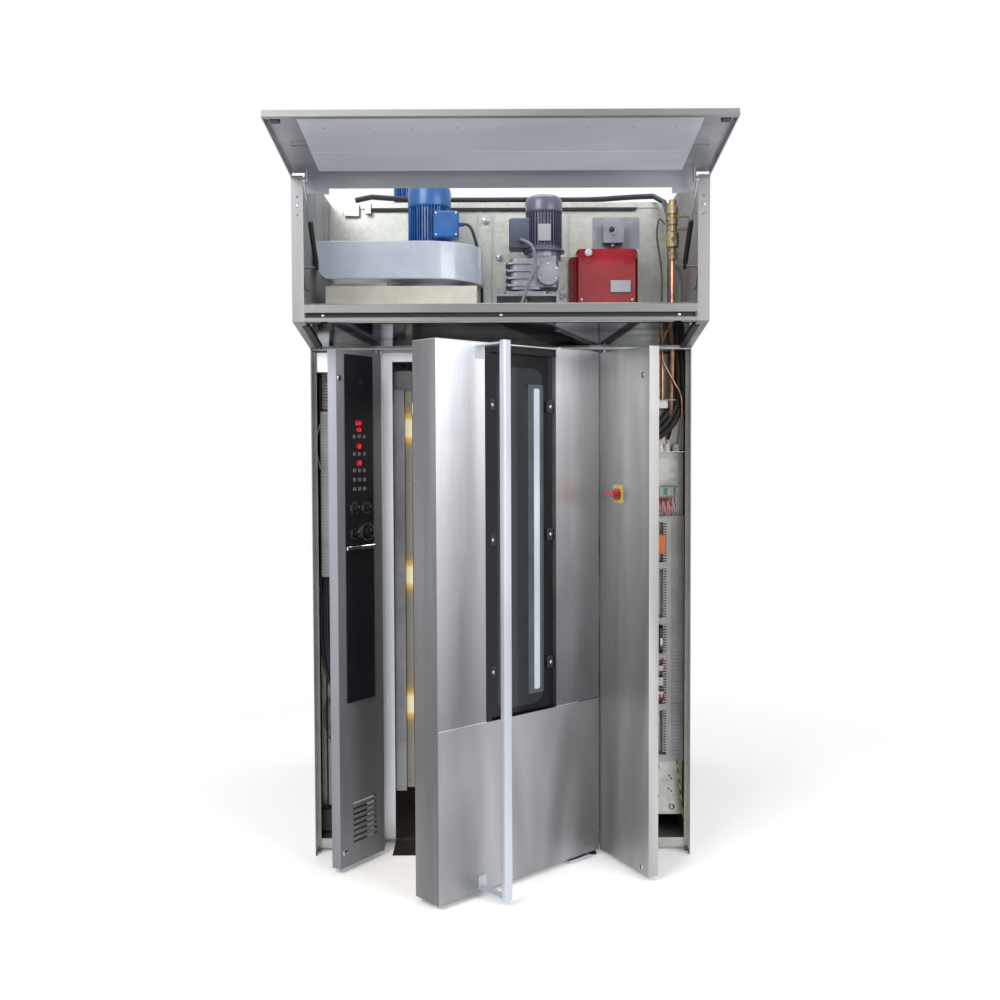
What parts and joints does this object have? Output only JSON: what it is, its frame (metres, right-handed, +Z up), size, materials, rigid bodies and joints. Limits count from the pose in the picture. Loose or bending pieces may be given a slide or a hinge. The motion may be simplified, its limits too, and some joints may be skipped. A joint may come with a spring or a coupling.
{
  "type": "rotating rack oven",
  "caption": "Tall hot-air oven whose rack turns on a hanging hook: glazed door, hinged control and switch panels, roof machine space with lifting flap, fan, burner and gearmotor.",
  "frame": {"origin": "on the floor, at the centre of the oven body's footprint, hood and open leaves left out", "axes": "+Z up; the doors and the flap open towards -Y, which is the front; +X is to the right for somebody who faces the front"},
  "size_m": [1.4, 2.165, 2.767],
  "materials": {
    "brushed_steel": "brushed",
    "mirror_steel": "polished",
    "galvanised_steel": "satin",
    "dark_steel": "satin",
    "grey_paint": "gloss",
    "cream_plinth": "matte",
    "device_plastic": "matte",
    "dark_device_plastic": "matte",
    "blue_paint": "satin",
    "slate_paint": "satin",
    "cast_aluminium": "cast",
    "red_cover": "gloss",
    "burner_casting": "painted",
    "black_plastic": "satin",
    "yellow_plate": "matte",
    "brass": "satin",
    "copper": "satin",
    "rubber": "matte",
    "tinted_glass": "clear"
  },
  "bodies": {
    "oven": {"base_frame": "galvanised_steel", "chamber_floor": "dark_steel", "chamber_walls": "dark_steel", "chamber_ceiling": "dark_steel", "roof_deck": "galvanised_steel", "door_frame": "brushed_steel", "front_header": "brushed_steel", "left_side_panel": "brushed_steel", "right_side_panel": "brushed_steel", "rear_panel": "galvanised_steel", "hood_front_rails": "brushed_steel", "hood_underside": "mirror_steel", "exchanger_casing": "galvanised_steel", "compartment_back_panel": "galvanised_steel", "fan_plinth": "cream_plinth", "fan_volute": "grey_paint", "fan_motor": "blue_paint", "steam_fan_motor": "blue_paint", "gear_unit": "cast_aluminium", "gear_motor": "slate_paint", "gear_motor_cable": "rubber", "drive_belt": "rubber", "burner_cover": "red_cover", "burner_body": "burner_casting", "pressure_switch": "cast_aluminium", "gas_valve": "brass", "gas_pipe": "copper", "cable_bundle": "rubber", "lamp_column": "brushed_steel", "air_panel": "dark_steel", "enclosure_plate": "galvanised_steel", "wiring_ducts": "device_plastic", "terminal_row": "device_plastic", "relay_row": "dark_device_plastic", "breaker_row": "device_plastic", "contactor_row": "dark_device_plastic"},
    "main_door": {"door_shell": "brushed_steel", "door_inner_pan": "brushed_steel", "door_gasket": "rubber", "door_outer_glass": "tinted_glass", "door_inner_glass": "tinted_glass", "door_handle": "brushed_steel", "door_hinge_strap": "galvanised_steel"},
    "control_panel": {"control_panel": "brushed_steel", "control_fascia": "black_plastic"},
    "steam_selector": {"steam_selector_knob": "black_plastic"},
    "mode_selector": {"mode_selector_knob": "black_plastic"},
    "light_selector": {"light_knob": "black_plastic"},
    "timer": {"timer_dial": "black_plastic"},
    "switch_panel": {"switch_panel": "brushed_steel", "main_switch_plate": "yellow_plate"},
    "main_switch": {"main_switch_knob": "red_cover"},
    "flap": {"flap": "brushed_steel"},
    "left_strut_tube": {"left_strut_tube": "black_plastic"},
    "left_strut_rod": {"left_strut_rod": "brushed_steel"},
    "right_strut_tube": {"right_strut_tube": "black_plastic"},
    "right_strut_rod": {"right_strut_rod": "brushed_steel"},
    "fan_wheel": {"fan_wheel": "galvanised_steel"},
    "drive_pulley": {"drive_pulley": "cast_aluminium"},
    "rack_carrier": {"rack_carrier": "dark_steel"}
  },
  "joints": [
    {"name": "main_door_hinge", "type": "hinge", "parent": "oven", "child": "main_door", "pos_m": [0.334, -0.65, 0.945], "axis": [0, 0, 1], "range_deg": [-42.7, 47.3]},
    {"name": "control_panel_hinge", "type": "hinge", "parent": "oven", "child": "control_panel", "pos_m": [-0.46, -0.66, 0.943], "axis": [0, 0, 1], "range_deg": [-56, 44]},
    {"name": "steam_selector_turn", "type": "hinge", "parent": "control_panel", "child": "steam_selector", "pos_m": [-0.5264, -0.7925, 1.306], "axis": [0.829, -0.5592, 0], "range_deg": [-45, 45]},
    {"name": "mode_selector_turn", "type": "hinge", "parent": "control_panel", "child": "mode_selector", "pos_m": [-0.4918, -0.7411, 1.306], "axis": [0.829, -0.5592, 0], "range_deg": [-45, 45]},
    {"name": "light_knob_turn", "type": "hinge", "parent": "control_panel", "child": "light_selector", "pos_m": [-0.5264, -0.7925, 1.216], "axis": [0.829, -0.5592, 0], "range_deg": [0, 90]},
    {"name": "timer_dial_turn", "type": "hinge", "parent": "control_panel", "child": "timer", "pos_m": [-0.4918, -0.7411, 1.22], "axis": [0.829, -0.5592, 0], "range_deg": [0, 300]},
    {"name": "switch_panel_hinge", "type": "hinge", "parent": "oven", "child": "switch_panel", "pos_m": [0.381, -0.66, 0.943], "axis": [0, 0, -1], "range_deg": [-63.3, 6.7]},
    {"name": "main_switch_turn", "type": "hinge", "parent": "switch_panel", "child": "main_switch", "pos_m": [0.4184, -0.7766, 1.354], "axis": [-0.8934, -0.4493, 0], "range_deg": [0, 90]},
    {"name": "flap_hinge", "type": "hinge", "parent": "oven", "child": "flap", "pos_m": [0, -1.025, 2.424], "axis": [-1, 0, 0], "range_deg": [-97.4, 0]},
    {"name": "left_strut_pivot", "type": "hinge", "parent": "oven", "child": "left_strut_tube", "pos_m": [-0.648, -0.825, 2.158], "axis": [1, 0, 0], "range_deg": [-7.5, 0]},
    {"name": "left_strut_slide", "type": "slide", "parent": "left_strut_tube", "child": "left_strut_rod", "axis": [0, -0.71, 0.7042], "range_m": [-0.0645, 0]},
    {"name": "right_strut_pivot", "type": "hinge", "parent": "oven", "child": "right_strut_tube", "pos_m": [0.648, -0.825, 2.158], "axis": [1, 0, 0], "range_deg": [-7.5, 0]},
    {"name": "right_strut_slide", "type": "slide", "parent": "right_strut_tube", "child": "right_strut_rod", "axis": [0, -0.71, 0.7042], "range_m": [-0.0645, 0]},
    {"name": "fan_wheel_spin", "type": "hinge", "parent": "oven", "child": "fan_wheel", "pos_m": [-0.276, -0.405, 2.21], "axis": [0, 0, 1], "continuous": true},
    {"name": "rack_drive_spin", "type": "hinge", "parent": "oven", "child": "drive_pulley", "pos_m": [0.098, -0.425, 2.06], "axis": [0, 0, 1], "continuous": true},
    {"name": "rack_carrier_spin", "type": "hinge", "parent": "oven", "child": "rack_carrier", "pos_m": [-0.048, 0.035, 1.9], "axis": [0, 0, 1], "continuous": true}
  ],
  "couplings": [
    {"joint": "left_strut_pivot", "follows": "flap_hinge", "ratio": 0.077},
    {"joint": "left_strut_slide", "follows": "flap_hinge", "m_per_rad": 0.0379},
    {"joint": "right_strut_pivot", "follows": "flap_hinge", "ratio": 0.077},
    {"joint": "right_strut_slide", "follows": "flap_hinge", "m_per_rad": 0.0379},
    {"joint": "rack_carrier_spin", "follows": "rack_drive_spin", "ratio": 0.5}
  ]
}
